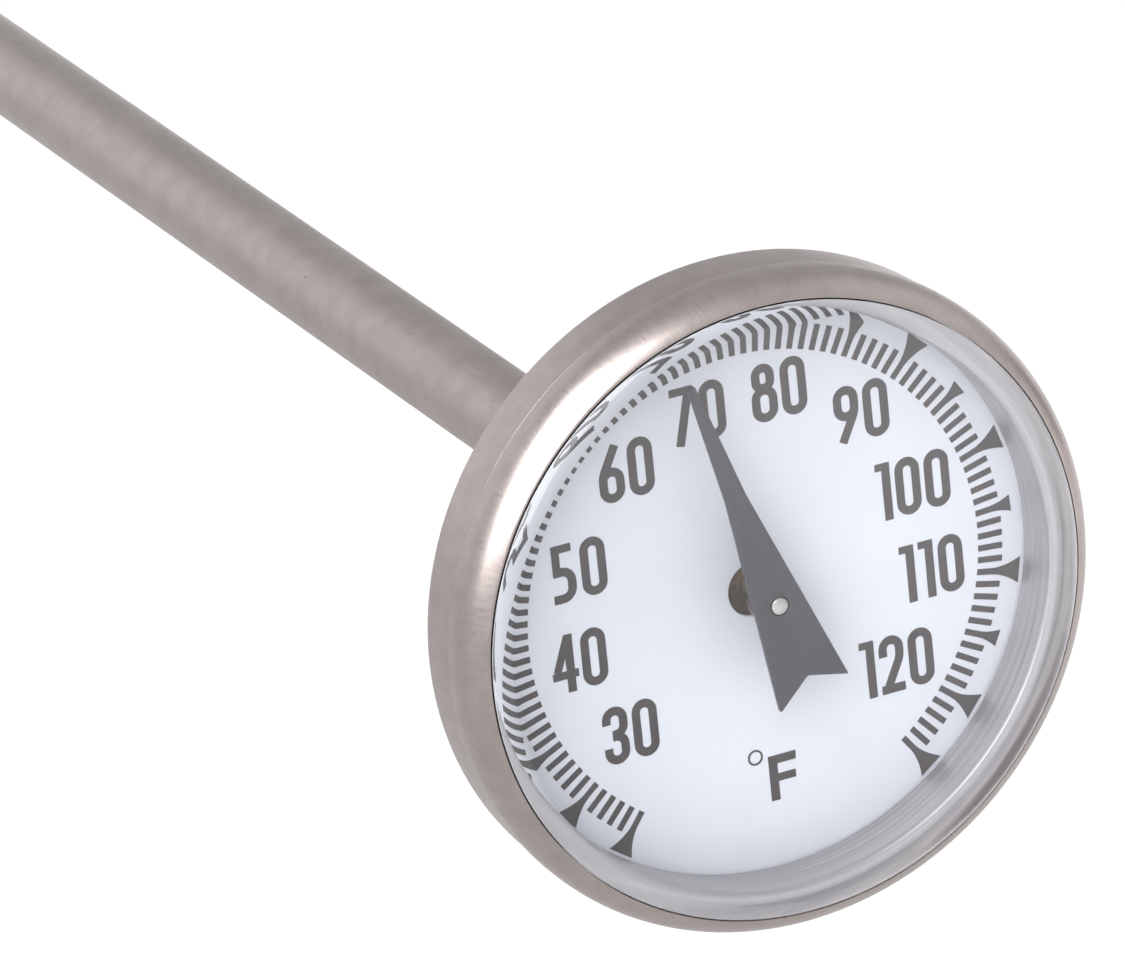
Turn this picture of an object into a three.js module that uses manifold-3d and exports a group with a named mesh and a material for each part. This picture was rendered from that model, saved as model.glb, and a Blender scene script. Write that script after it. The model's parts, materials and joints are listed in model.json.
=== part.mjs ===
// Darkroom pocket thermometer: a one inch dial on the end of a slim hollow stem.
//
// Lengths are millimetres. The stem runs along +Y, the dial faces -Y and +Z is 12 o'clock.
// The origin is on the stem's axis, at the flat back of the case.
//
// A bimetal helix near the stem's tip turns a long shaft, and the shaft carries the pointer.
// The head turns on the stem against a friction washer, which is how the reading is set.
import * as THREE from 'three';
import { mergeVertices } from 'three/addons/utils/BufferGeometryUtils.js';
import Module from 'manifold-3d';

// ---------------------------------------------------------------- driving dimensions

// Head
const WINDOW_D = 25.4;          // clear opening inside the bezel's lip
const BEZEL_LIP = 0.9;          // lip's inner edge to the bezel's outside
const BEZEL_SHEET = 0.45;       // bezel wall
const BEZEL_CROWN = 1.8;        // radius of the rounded front, from lip to side
const BEZEL_STRAIGHT = 0.35;    // straight part of the side, behind the crown
const BEZEL_REAR_ROUNDING = 0.15;
const BEZEL_PROUD = 0.12;       // how far the bezel stands out beyond the case wall
const CASE_SHEET = 0.4;         // case wall and floor
const CASE_CORNER = 0.5;        // outside rounding between the wall and the shoulder
const CASE_EDGE = 0.15;         // rounding of the wall's front edge, behind the bezel
const NECK_OVERLAP = 0.45;      // how deep the case's narrower neck goes into the bezel
const PAN_D = 17;               // the deeper middle of the case back
const PAN_CORNER = 0.8;
const PAN_FILLET = 0.4;         // between the pan and the shoulder round it

// Crystal, its gasket and the dial
const CRYSTAL_T = 1.5;          // thickness of the clear window
const CRYSTAL_PROUD = 0.35;     // lip plane out to the crystal's face
const CRYSTAL_EDGE = 1.0;       // radius that rounds the face down to the lip
const CRYSTAL_RING_WALL = 0.9;  // steel ring between the crystal and the dial
const GASKET_T = 0.15;
const DIAL_SPACER_T = 0.2;
const DIAL_T = 0.3;
const DIAL_HOLE_D = 2.3;

// Stem and its fastening in the case
const STEM_D = 3.8;             // 0.150 inch
const STEM_LENGTH = 127;        // back of the case to the tip
const STEM_WALL = 0.3;
const STEM_STUB = 0.25;         // tube standing past the flange, inside the case
const TIP_CAP = 0.8;            // solid end of the tip plug
const TIP_ROUNDING = 0.5;
const TIP_SPIGOT = 2.5;         // length of the plug inside the tube
const FLANGE_D = 8.4;
const FLANGE_T = 0.5;
const WASHER_D = 7.6;
const WASHER_T = 0.2;
const WASHER_WAVE = 0.15;       // height of each wave above and below the washer's middle
const NUT_ACROSS_FLATS = 8.0;
const NUT_LENGTH = 4.5;
const NUT_CHAMFER = 0.45;
const SPANNER_ROOM = 0.6;       // flat ring round the nut's corners, under a spanner

// Pointer and shaft
const SHAFT_D = 0.7;
const SHAFT_TIP = 0.1;          // shaft standing past the pointer
const POINTER_T = 0.25;
const POINTER_LIFT = 1.95;      // dial face to the pointer's underside
const POINTER_REACH = 10.2;     // pivot to tip
const POINTER_TIP_W = 0.3;
const POINTER_WAIST = 5.0;      // pivot to where the slender end begins
const POINTER_WAIST_W = 0.87;
const POINTER_TAIL = 4.15;      // pivot to the tail's points
const POINTER_TAIL_W = 3.16;
const POINTER_NOTCH = 0.85;     // depth of the notch between the tail's points
const HUB_D = 1.8;
const HUB_LENGTH = 0.9;

// Bimetal helix and shaft guides
const COIL_ROOM = 0.35;         // tube's bore to the helix
const COIL_STRIP_T = 0.2;
const COIL_STRIP_W = 1.0;
const COIL_PITCH = 1.5;
const COIL_TURNS = 20;
const COIL_CORE_ROOM = 0.3;     // helix to the anchor pin and the collar inside it
const ANCHOR_LENGTH = 3.0;
const COLLAR_LENGTH = 2.0;
const BUSH_LENGTH = 3.0;

// Scale: what the pointer shows at rest
const SCALE_MIDDLE_F = 75;      // at 12 o'clock
const DEGREES_PER_F = 2.88;
const REST_READING_F = 69.5;

// Clearances
const RUNNING = 0.05;           // radial, where one piece turns on another
const SEAT = 0.05;              // between pieces that rest on each other
const MOVING_ROOM = 0.1;        // along the axis, between pieces that turn past each other
const DIAL_ROOM = 0.25;         // stem's end to the dial's underside

// Facets round a full circle
const FINE = 48;
const COARSE = 24;
const COIL_STEPS = 12;

// ---------------------------------------------------------------- derived places

const stemR = STEM_D / 2;
const stemBoreR = stemR - STEM_WALL;
const shaftR = SHAFT_D / 2;
const coilR = stemBoreR - COIL_ROOM;
const coilCoreR = coilR - COIL_STRIP_T - COIL_CORE_ROOM;

const windowR = WINDOW_D / 2;
const bezelR = windowR + BEZEL_LIP;
const crownCentreR = bezelR - BEZEL_CROWN;
const caseR = bezelR - BEZEL_PROUD;
const neckR = bezelR - BEZEL_SHEET - SEAT;
const neckBoreR = neckR - CASE_SHEET;
const panR = PAN_D / 2;
const caseBoreR = stemR + RUNNING;
const nutCornerR = NUT_ACROSS_FLATS / 2 / Math.cos(Math.PI / 6);

// Along the axis, from the back of the case towards the viewer
const floorY = -CASE_SHEET;
const washerHeight = WASHER_T + 2 * WASHER_WAVE;
const washerMiddleY = floorY - SEAT - washerHeight / 2;
const flangeBackY = floorY - washerHeight - 2 * SEAT;
const flangeFrontY = flangeBackY - FLANGE_T;
const stemEndY = flangeFrontY - STEM_STUB;
const dialBackY = stemEndY - DIAL_ROOM;
const dialFaceY = dialBackY - DIAL_T;
const pointerBackY = dialFaceY - POINTER_LIFT;
const pointerFrontY = pointerBackY - POINTER_T;
const shaftEndY = pointerFrontY - SHAFT_TIP;
const crystalBackY = shaftEndY - MOVING_ROOM;
const crystalFaceY = crystalBackY - CRYSTAL_T;
const lipY = crystalFaceY + CRYSTAL_PROUD;
const crownCentreY = lipY + Math.sqrt(BEZEL_CROWN ** 2 - (windowR - crownCentreR) ** 2);
const bezelRearY = crownCentreY + BEZEL_STRAIGHT + BEZEL_REAR_ROUNDING;
const caseRimY = bezelRearY - NECK_OVERLAP;
const shoulderY = dialBackY + DIAL_SPACER_T + 2 * SEAT + CASE_SHEET;

// Along the stem, towards the tip
const tubeEndY = STEM_LENGTH - TIP_CAP;
const anchorFrontY = tubeEndY - TIP_SPIGOT - SEAT - ANCHOR_LENGTH;
const coilLength = COIL_TURNS * COIL_PITCH;
const coilEndY = anchorFrontY + ANCHOR_LENGTH / 2;
const coilFrontY = coilEndY - coilLength;
const collarBackY = coilFrontY + COLLAR_LENGTH / 2;

// ---------------------------------------------------------------- shaping helpers

const wasm = await Module();
wasm.setup();

const point = (x, y) => new THREE.Vector2(x, y);

// Points on a quarter round about (x, y), from one angle to another in degrees.
function arc(x, y, radius, from, to, steps = 6) {
  return Array.from({ length: steps + 1 }, (_, i) => {
    const angle = THREE.MathUtils.degToRad(from + ((to - from) * i) / steps);
    return point(x + radius * Math.cos(angle), y + radius * Math.sin(angle));
  });
}

// A body turned about the Y axis from an outline of (radius, y) points.
// A ring's outline is closed; a solid's starts and ends on the axis.
function turned(outline, segments = FINE) {
  const distinct = outline.filter((p, i) => i === 0 || p.distanceTo(outline[i - 1]) > 1e-6);
  const points = THREE.ShapeUtils.area(distinct) < 0 ? distinct.reverse() : distinct;
  const onAxis = points.findIndex((p) => p.x === 0);
  if (onAxis < 0) return new THREE.LatheGeometry([...points, points[0]], segments);
  // Start at the axis point that the outline leaves from.
  const start = points.findIndex((p, i) => p.x === 0 && points[(i + 1) % points.length].x > 0);
  const ordered = [...points.slice(start), ...points.slice(0, start)];
  return new THREE.LatheGeometry(ordered, segments);
}

// A plain ring between two radii and two heights.
function ring(innerR, outerR, fromY, toY, segments = FINE) {
  return turned([
    point(innerR, fromY), point(outerR, fromY), point(outerR, toY), point(innerR, toY),
  ], segments);
}

// A plain round bar on the axis.
function bar(radius, fromY, toY, segments = COARSE) {
  return turned([
    point(0, fromY), point(radius, fromY), point(radius, toY), point(0, toY),
  ], segments);
}

function toManifold(geometry) {
  const bare = geometry.clone();
  bare.deleteAttribute('normal');
  bare.deleteAttribute('uv');
  const merged = mergeVertices(bare, 1e-4);
  const corners = Array.from(merged.index.array);
  const triVerts = [];
  for (let i = 0; i < corners.length; i += 3) {
    const [a, b, c] = corners.slice(i, i + 3);
    if (a !== b && b !== c && a !== c) triVerts.push(a, b, c);
  }
  const vertProperties = Float32Array.from(merged.attributes.position.array);
  return new wasm.Manifold(new wasm.Mesh({
    numProp: 3, vertProperties, triVerts: Uint32Array.from(triVerts),
  }));
}

function fromManifold(solid) {
  const mesh = solid.getMesh();
  const geometry = new THREE.BufferGeometry();
  geometry.setAttribute('position', new THREE.BufferAttribute(mesh.vertProperties, 3));
  geometry.setIndex(new THREE.BufferAttribute(mesh.triVerts, 1));
  geometry.computeVertexNormals();
  return geometry;
}

// ---------------------------------------------------------------- materials

const finish = (color, roughness, metalness) =>
  new THREE.MeshStandardMaterial({ color, roughness, metalness });

const materials = {
  stem: () => finish(0xa59c94, 0.42, 1.0),
  steel: () => finish(0xaca39b, 0.35, 1.0),
  bright: () => finish(0xccc9cf, 0.4, 1.0),
  spring: () => finish(0x8d8a86, 0.35, 1.0),
  brass: () => finish(0x8c6b40, 0.4, 1.0),
  bimetal: () => finish(0x9a8f7d, 0.4, 1.0),
  crystal: () => finish(0xf2f5f7, 0.05, 0.0),
  gasket: () => finish(0x949291, 0.85, 0.0),
  dial: () => finish(0xe6e8f2, 0.5, 0.0),
  pointer: () => finish(0x37383f, 0.5, 0.0),
};

const thermometer = new THREE.Group();

function piece(name, geometry, material) {
  const mesh = new THREE.Mesh(geometry, materials[material]());
  mesh.name = name;
  thermometer.add(mesh);
  return mesh;
}

// ---------------------------------------------------------------- case and bezel

// A pressed cup. Its neck fits inside the bezel, its wall steps out behind the bezel's rear edge,
// and its back is a flat shoulder round a deeper pan with a hole for the stem.
function caseCup() {
  const frontY = bezelRearY + SEAT;
  const cornerR = caseR - CASE_CORNER;
  const cornerY = shoulderY - CASE_CORNER;
  const filletR = panR + PAN_FILLET;
  const filletY = shoulderY + PAN_FILLET;
  const outside = [
    point(caseBoreR, 0),
    point(nutCornerR + SPANNER_ROOM, 0),
    ...arc(panR - PAN_CORNER, -PAN_CORNER, PAN_CORNER, 90, 0, 4),
    ...arc(filletR, filletY, PAN_FILLET, 180, 270, 3),
    ...arc(cornerR, cornerY, CASE_CORNER, 90, 0, 4),
    ...arc(caseR - CASE_EDGE, frontY + CASE_EDGE, CASE_EDGE, 0, -90, 2),
    point(neckR, frontY),
    point(neckR, caseRimY),
  ];
  const inside = [
    point(neckBoreR, caseRimY),
    point(neckBoreR, frontY + CASE_SHEET),
    point(caseR - CASE_SHEET, frontY + CASE_SHEET),
    ...arc(cornerR, cornerY, CASE_CORNER - CASE_SHEET, 0, 90, 2),
    ...arc(filletR, filletY, PAN_FILLET + CASE_SHEET, 270, 180, 3),
    ...arc(panR - PAN_CORNER, -PAN_CORNER, PAN_CORNER - CASE_SHEET, 0, 90, 4),
    point(caseBoreR, floorY),
  ];
  return turned([...outside, ...inside]);
}

// The angle on the crown, below the side, at which an arc of this radius reaches a distance
// from the axis.
const crownAngle = (radius, distance) =>
  -THREE.MathUtils.radToDeg(Math.acos((distance - crownCentreR) / radius));

// A rolled ring: a rounded crown from the lip to the side, and a rounded rear edge.
function bezelRing() {
  const straightY = crownCentreY + BEZEL_STRAIGHT;
  const innerCrown = BEZEL_CROWN - BEZEL_SHEET;
  return turned([
    ...arc(crownCentreR, crownCentreY, BEZEL_CROWN, crownAngle(BEZEL_CROWN, windowR), 0, 8),
    ...arc(bezelR - BEZEL_REAR_ROUNDING, straightY, BEZEL_REAR_ROUNDING, 0, 90, 3),
    point(bezelR - BEZEL_SHEET, bezelRearY),
    ...arc(crownCentreR, crownCentreY, innerCrown, 0, crownAngle(innerCrown, windowR), 5),
  ]);
}

// A clear moulding: a thick window, whose face is rounded down to the lip, and a flange under
// the bezel's crown. The flange's front follows the inside of the crown.
function crystal() {
  const flangeR = neckR - SEAT;
  const flangeBackY = caseRimY - GASKET_T - 2 * SEAT;
  const windowBackR = neckBoreR - SEAT;
  const stepR = windowR - SEAT;
  const seatR = BEZEL_CROWN - BEZEL_SHEET - SEAT;
  const seatFrom = crownAngle(seatR, stepR);
  const seatTo = crownAngle(seatR, flangeR);
  const edgeReach = Math.sqrt(CRYSTAL_EDGE ** 2 - (CRYSTAL_EDGE - CRYSTAL_PROUD) ** 2);
  const edgeEnd = -THREE.MathUtils.radToDeg(Math.acos(edgeReach / CRYSTAL_EDGE));
  return turned([
    point(0, crystalFaceY),
    ...arc(stepR - edgeReach, crystalFaceY + CRYSTAL_EDGE, CRYSTAL_EDGE, -90, edgeEnd, 4),
    ...arc(crownCentreR, crownCentreY, seatR, seatFrom, seatTo, 3),
    point(flangeR, flangeBackY),
    point(windowBackR, flangeBackY),
    point(windowBackR, crystalBackY),
    point(0, crystalBackY),
  ]);
}

piece('case_cup', caseCup(), 'steel');
piece('bezel_ring', bezelRing(), 'steel');
piece('crystal', crystal(), 'crystal');
piece('crystal_gasket',
  ring(neckBoreR, neckR, caseRimY - GASKET_T - SEAT, caseRimY - SEAT), 'gasket');

// The ring stands on the dial and carries the crystal.
piece('crystal_ring', ring(neckBoreR - SEAT - CRYSTAL_RING_WALL, neckBoreR - SEAT,
  crystalBackY + SEAT, dialFaceY - SEAT), 'bright');
piece('dial_plate', ring(DIAL_HOLE_D / 2, neckBoreR - SEAT, dialFaceY, dialBackY), 'dial');

// A flat ring on the case's shoulder, which carries the dial.
piece('dial_support_ring',
  ring(panR + PAN_FILLET + SEAT, neckBoreR - SEAT, dialBackY + SEAT,
    dialBackY + SEAT + DIAL_SPACER_T), 'spring');

// ---------------------------------------------------------------- stem

piece('stem_tube', ring(stemBoreR, stemR, stemEndY, tubeEndY), 'stem');

// The plug closes the tube: a cap with a rounded edge and a spigot inside the bore.
const spigotR = stemBoreR - SEAT;
piece('stem_tip_plug', turned([
  point(0, tubeEndY - TIP_SPIGOT),
  point(spigotR, tubeEndY - TIP_SPIGOT),
  point(spigotR, tubeEndY + SEAT),
  point(stemR, tubeEndY + SEAT),
  ...arc(stemR - TIP_ROUNDING, STEM_LENGTH - TIP_ROUNDING, TIP_ROUNDING, 0, 90, 5),
  point(0, STEM_LENGTH),
]), 'stem');

piece('stem_flange', ring(stemR + SEAT, FLANGE_D / 2, flangeFrontY, flangeBackY), 'spring');

// A washer with three waves, pressed between the flange and the case's floor.
function waveWasher() {
  const geometry = ring(stemR + SEAT, WASHER_D / 2, -WASHER_T / 2, WASHER_T / 2);
  const positions = geometry.attributes.position;
  for (let i = 0; i < positions.count; i += 1) {
    const angle = Math.atan2(positions.getZ(i), positions.getX(i));
    positions.setY(i, positions.getY(i) + WASHER_WAVE * Math.cos(3 * angle));
  }
  return geometry;
}
piece('friction_washer', waveWasher(), 'spring').position.y = washerMiddleY;

// A hexagon nut with chamfered corners: what a spanner holds while the head is turned.
function calibrationNut() {
  const hexagon = new THREE.Shape(Array.from({ length: 6 }, (_, i) => {
    const angle = (i * Math.PI) / 3;
    return point(nutCornerR * Math.cos(angle), nutCornerR * Math.sin(angle));
  }));
  const hexBar = new THREE.ExtrudeGeometry(hexagon, { depth: NUT_LENGTH, bevelEnabled: false });
  hexBar.rotateX(-Math.PI / 2);
  const faceR = NUT_ACROSS_FLATS / 2;
  const cornerR = faceR + NUT_CHAMFER * Math.sqrt(3) + SEAT;
  const rise = NUT_CHAMFER * (cornerR - faceR) / (nutCornerR - faceR);
  const coned = turned([
    point(stemR + SEAT, 0), point(faceR, 0), point(cornerR, rise),
    point(cornerR, NUT_LENGTH - rise), point(faceR, NUT_LENGTH), point(stemR + SEAT, NUT_LENGTH),
  ]);
  return fromManifold(toManifold(hexBar).intersect(toManifold(coned)));
}
piece('calibration_nut', calibrationNut(), 'steel').position.y = MOVING_ROOM;

// ---------------------------------------------------------------- movement in the stem

// Three guides hold the shaft on the axis: at the head, halfway and just before the helix.
const bushR = stemBoreR - SEAT;
const bushBoreR = shaftR + RUNNING;
const lowestBushY = collarBackY - COLLAR_LENGTH - MOVING_ROOM - BUSH_LENGTH;
['upper_shaft_bush', 'middle_shaft_bush', 'lower_shaft_bush'].forEach((name, i) => {
  const frontY = THREE.MathUtils.lerp(stemEndY, lowestBushY, i / 2);
  piece(name, ring(bushBoreR, bushR, frontY, frontY + BUSH_LENGTH, COARSE), 'brass');
});

// The helix: a flat strip wound round the axis, bent from a straight box.
function bimetalCoil() {
  const steps = COIL_TURNS * COIL_STEPS;
  const strip = new THREE.BoxGeometry(COIL_STRIP_T, COIL_STRIP_W, 1, 1, 1, steps);
  const positions = strip.attributes.position;
  const middleR = coilR - COIL_STRIP_T / 2;
  for (let i = 0; i < positions.count; i += 1) {
    const along = positions.getZ(i) + 0.5;
    const angle = along * COIL_TURNS * 2 * Math.PI;
    const radius = middleR + positions.getX(i);
    const y = coilFrontY + along * coilLength + positions.getY(i);
    positions.setXYZ(i, radius * Math.cos(angle), y, radius * Math.sin(angle));
  }
  return strip;
}
piece('bimetal_coil', bimetalCoil(), 'bimetal');
piece('coil_anchor_pin',
  bar(coilCoreR, anchorFrontY, anchorFrontY + ANCHOR_LENGTH), 'steel');

// ---------------------------------------------------------------- pointer group

piece('coil_collar',
  ring(shaftR + SEAT, coilCoreR, collarBackY - COLLAR_LENGTH, collarBackY, COARSE), 'brass');
piece('pointer_shaft', bar(shaftR, shaftEndY, collarBackY), 'steel');
piece('pointer_hub',
  ring(shaftR + SEAT, HUB_D / 2, pointerBackY + SEAT, pointerBackY + HUB_LENGTH, COARSE), 'brass');

// A flat blade with a blunt tip and a notched, spread tail.
function pointerBlade() {
  const blade = new THREE.Shape([
    point(-POINTER_TIP_W / 2, POINTER_REACH),
    point(-POINTER_WAIST_W / 2, POINTER_WAIST),
    point(-POINTER_TAIL_W / 2, -POINTER_TAIL),
    point(0, POINTER_NOTCH - POINTER_TAIL),
    point(POINTER_TAIL_W / 2, -POINTER_TAIL),
    point(POINTER_WAIST_W / 2, POINTER_WAIST),
    point(POINTER_TIP_W / 2, POINTER_REACH),
  ]);
  const eye = new THREE.Path();
  eye.absarc(0, 0, shaftR + SEAT, 0, 2 * Math.PI, true);
  blade.holes.push(eye);
  return new THREE.ExtrudeGeometry(blade, {
    depth: POINTER_T, bevelEnabled: false, curveSegments: COARSE / 2,
  });
}
const restAngle = THREE.MathUtils.degToRad((SCALE_MIDDLE_F - REST_READING_F) * DEGREES_PER_F);
const pointer = piece('pointer', pointerBlade(), 'pointer');
pointer.rotation.set(Math.PI / 2, 0, restAngle);
pointer.position.y = pointerBackY;

export default thermometer;
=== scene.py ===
"""Finished pieces for a pocket dial thermometer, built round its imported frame.

The stem runs along +Y, the dial faces -Y and +Z is the dial's 12 o'clock. Lengths are metres, but the
tables of strokes and number places are in millimetres.
"""

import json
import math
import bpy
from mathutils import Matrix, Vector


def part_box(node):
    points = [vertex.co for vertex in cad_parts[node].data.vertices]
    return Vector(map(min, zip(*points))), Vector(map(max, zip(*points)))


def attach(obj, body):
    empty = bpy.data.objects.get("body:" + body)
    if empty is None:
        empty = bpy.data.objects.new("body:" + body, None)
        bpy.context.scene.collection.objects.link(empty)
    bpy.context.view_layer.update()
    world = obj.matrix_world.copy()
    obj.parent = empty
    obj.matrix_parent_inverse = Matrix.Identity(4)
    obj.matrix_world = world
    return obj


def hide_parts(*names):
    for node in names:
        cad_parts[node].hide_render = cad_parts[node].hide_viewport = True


bl_info = {
    "name": "Darkroom Thermometer",
    "version": (1, 0, 0),
    "blender": (4, 5, 0),
    "location": "View3D > Sidebar > Thermometer",
    "description": "Models the finished case, dial, pointer and stem of a pocket thermometer",
    "category": "Add Mesh",
}

from collections import namedtuple

import bpy
from bpy.props import FloatProperty, FloatVectorProperty, IntProperty, PointerProperty
from bpy.types import Operator, Panel, PropertyGroup
from mathutils import Matrix, Vector

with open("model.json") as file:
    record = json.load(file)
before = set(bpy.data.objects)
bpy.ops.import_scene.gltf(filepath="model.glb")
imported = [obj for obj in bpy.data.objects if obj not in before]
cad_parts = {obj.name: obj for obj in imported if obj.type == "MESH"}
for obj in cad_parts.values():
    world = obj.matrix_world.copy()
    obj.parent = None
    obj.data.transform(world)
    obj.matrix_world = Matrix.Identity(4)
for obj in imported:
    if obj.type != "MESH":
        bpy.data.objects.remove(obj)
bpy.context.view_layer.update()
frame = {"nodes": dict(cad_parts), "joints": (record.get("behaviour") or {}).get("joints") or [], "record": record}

MM = 0.001
SAME_PLACE = 1e-7               # points closer than this are one point
SMOOTH_BELOW = math.radians(32)  # edges flatter than this are shaded smooth
VIEWER = Vector((0, -1, 0))      # the way that the dial faces
ALONG = Vector((0, 1, 0))
UP = Vector((0, 0, 1))
RIGHT = Vector((1, 0, 0))
FINISHES = {}                   # the materials, by name

# ---------------------------------------------------------------- places from the frame

Round = namedtuple("Round", "radius front back")


def round_node(name):
    """Outer radius, front and back of a CAD node that is round about the Y axis."""
    low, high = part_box(name)
    return Round(high.x, low.y, high.y)


BEZEL = round_node("bezel_ring")
CASE = round_node("case_cup")
CRYSTAL = round_node("crystal")
RING = round_node("crystal_ring")
DIAL = round_node("dial_plate")
STEM = round_node("stem_tube")
PLUG = round_node("stem_tip_plug")
NUT = round_node("calibration_nut")
SHAFT = round_node("pointer_shaft")
HUB = round_node("pointer_hub")
POINTER_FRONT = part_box("pointer")[0].y
POINTER_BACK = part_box("pointer")[1].y
SUPPORT = round_node("dial_support_ring")

# ---------------------------------------------------------------- sizes and colours


def length(name, description, millimetres):
    """A length property in metres, with its default given in millimetres."""
    return FloatProperty(
        name=name, description=description, default=millimetres * MM, unit="LENGTH", precision=5)


def colour(name, description, default):
    """A surface colour property."""
    return FloatVectorProperty(
        name=name, description=description, default=default, subtype="COLOR", min=0, max=1)


def angle(name, description, degrees):
    """An angle property, with its default given in degrees."""
    return FloatProperty(name=name, description=description, default=math.radians(degrees), unit="ROTATION")


class HeadSizes(PropertyGroup):
    """Sizes of the bezel, the case and the crystal."""

    segments: IntProperty(name="Segments", description="Facets round the head", default=192)
    seat: length("Seat", "Gap between pieces that rest on each other", 0.05)
    lip: length("Lip", "Bezel's outside to the edge of its window", 0.9)
    bezel_sheet: length("Bezel sheet", "Thickness of the bezel", 0.45)
    crown: length("Crown", "Radius of the bezel's rounded front", 1.8)
    rear_rounding: length("Rear rounding", "Rounding of the bezel's rear edge", 0.15)
    case_sheet: length("Case sheet", "Thickness of the case", 0.4)
    case_corner: length("Case corner", "Rounding between the case wall and its back", 0.5)
    case_edge: length("Case edge", "Rounding of the case wall's front edge", 0.15)
    pan_radius: length("Pan radius", "Radius of the deeper middle of the case back", 8.5)
    pan_corner: length("Pan corner", "Rounding of the pan's outer edge", 0.8)
    pan_fillet: length("Pan fillet", "Fillet between the pan and the case back", 0.4)
    stem_room: length("Stem room", "Gap round the stem in the case back", 0.05)
    crystal_thickness: length("Crystal thickness", "Thickness of the clear window", 1.5)
    crystal_edge: length("Crystal edge", "Radius that rounds the crystal's face down to the lip", 1.0)
    flat_rim: length("Flat rim", "Width of the narrow facets that keep the window's faces flat", 0.08)
    ring_wall: length("Ring wall", "Thickness of the ring under the crystal", 0.9)
    ring_edge: length("Ring edge", "Rounding of the edges of the ring under the crystal", 0.12)
    softened: length("Softened edge", "Rounding of sharp rims", 0.035)


class DialSizes(PropertyGroup):
    """Sizes of the dial and of the scale printed on it."""

    hole: length("Hole", "Radius of the hole in the dial", 1.15)
    ink: length("Ink", "Height of the print", 0.02)
    middle_mark: FloatProperty(name="Middle mark", description="Temperature at 12 o'clock, in F", default=75)
    first_mark: IntProperty(name="First mark", description="Lowest temperature, in F", default=25)
    last_mark: IntProperty(name="Last mark", description="Highest temperature, in F", default=125)
    step: angle("Step", "Angle from one mark to the next", 2.88)
    mark_inner: length("Mark inner end", "Radius where the marks start", 9.78)
    mark_outer: length("Mark outer end", "Radius where a plain mark ends", 10.84)
    mark_width: length("Mark width", "Width of a mark", 0.25)
    flare_from: length("Flare from", "Radius where a wider mark starts to spread", 10.42)
    five_outer: length("Five outer end", "Radius where a fifth mark ends", 11.32)
    five_width: length("Five width", "Outer width of a fifth mark", 0.7)
    ten_outer: length("Ten outer end", "Radius where a tenth mark ends", 11.64)
    ten_width: length("Ten width", "Outer width of a tenth mark", 1.1)
    digit_gap: length("Digit gap", "Space between two digits", 0.2)


class PointerSizes(PropertyGroup):
    """Sizes of the pointer, its hub and its shaft."""

    reach: length("Reach", "Pivot to tip", 10.2)
    tip_width: length("Tip width", "Width of the blunt tip", 0.3)
    waist: length("Waist", "Pivot to where the slender end begins", 5.0)
    waist_width: length("Waist width", "Width where the slender end begins", 0.87)
    tail: length("Tail", "Pivot to the tail's points", 4.15)
    tail_width: length("Tail width", "Width across the tail's points", 3.16)
    notch: length("Notch", "Depth of the notch in the tail", 0.85)
    corner: length("Corner", "Rounding of the blade's corners", 0.07)
    edge: length("Edge", "Rounding of the blade's edges", 0.03)
    seat: length("Seat", "Gap round the shaft", 0.05)
    shaft_dome: length("Shaft dome", "Height of the shaft's domed end", 0.08)
    shaft_segments: IntProperty(name="Shaft segments", description="Facets round the shaft", default=32)
    hub_segments: IntProperty(name="Hub segments", description="Facets round the hub", default=48)


class StemSizes(PropertyGroup):
    """Sizes of the stem, its tip and the nut behind the case."""

    segments: IntProperty(name="Segments", description="Facets round the stem", default=96)
    wall: length("Wall", "Thickness of the tube", 0.3)
    seat: length("Seat", "Gap between pieces that rest on each other", 0.05)
    tip_rounding: length("Tip rounding", "Rounding of the tip's edge", 0.5)
    end_rounding: length("End rounding", "Rounding of the tube's ends", 0.04)
    nut_chamfer: length("Nut chamfer", "Chamfer at the nut's corners", 0.45)
    nut_edge: length("Nut edge", "Rounding of the nut's edges", 0.05)


class Finishes(PropertyGroup):
    """Colours of the finishes."""

    case: colour("Case steel", "Warm grey of the case and bezel", (0.44, 0.385, 0.37))
    stem: colour("Stem steel", "Warm grey of the stem", (0.425, 0.375, 0.362))
    ring: colour("Ring steel", "Bright grey of the ring under the crystal", (0.47, 0.45, 0.462))
    nut: colour("Nut steel", "Grey of the machined nut and shaft", (0.5, 0.48, 0.46))
    spring: colour("Spring steel", "Grey of the hidden springs and rings", (0.42, 0.41, 0.4))
    # Painted shade, not tarnish: the brass is darkened to stand for the shadow deep in the stem, where the bushes
    # show through the dial's hole.
    brass: colour("Brass", "Tarnished yellow of the bushes", (0.24, 0.15, 0.07))
    # Painted shade, not tarnish: the hub's dark brown stands for the shadow round it in the dial's hole.
    hub: colour("Hub", "Dark tarnished brown of the pointer's hub", (0.1, 0.065, 0.045))
    bimetal: colour("Bimetal", "Straw grey of the helix", (0.5, 0.45, 0.37))
    crystal: colour("Crystal", "Tint of the clear plastic", (0.985, 0.99, 1.0))
    rubber: colour("Rubber", "Grey of the gasket", (0.3, 0.29, 0.29))
    dial: colour("Dial", "Cool white of the dial", (0.62, 0.635, 0.685))
    ink: colour("Ink", "Grey-brown of the print", (0.032, 0.024, 0.026))
    pointer: colour("Pointer", "Slate black of the pointer", (0.027, 0.024, 0.033))
    floor: colour("Floor", "Pale floor", (0.9, 0.9, 0.9))


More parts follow.
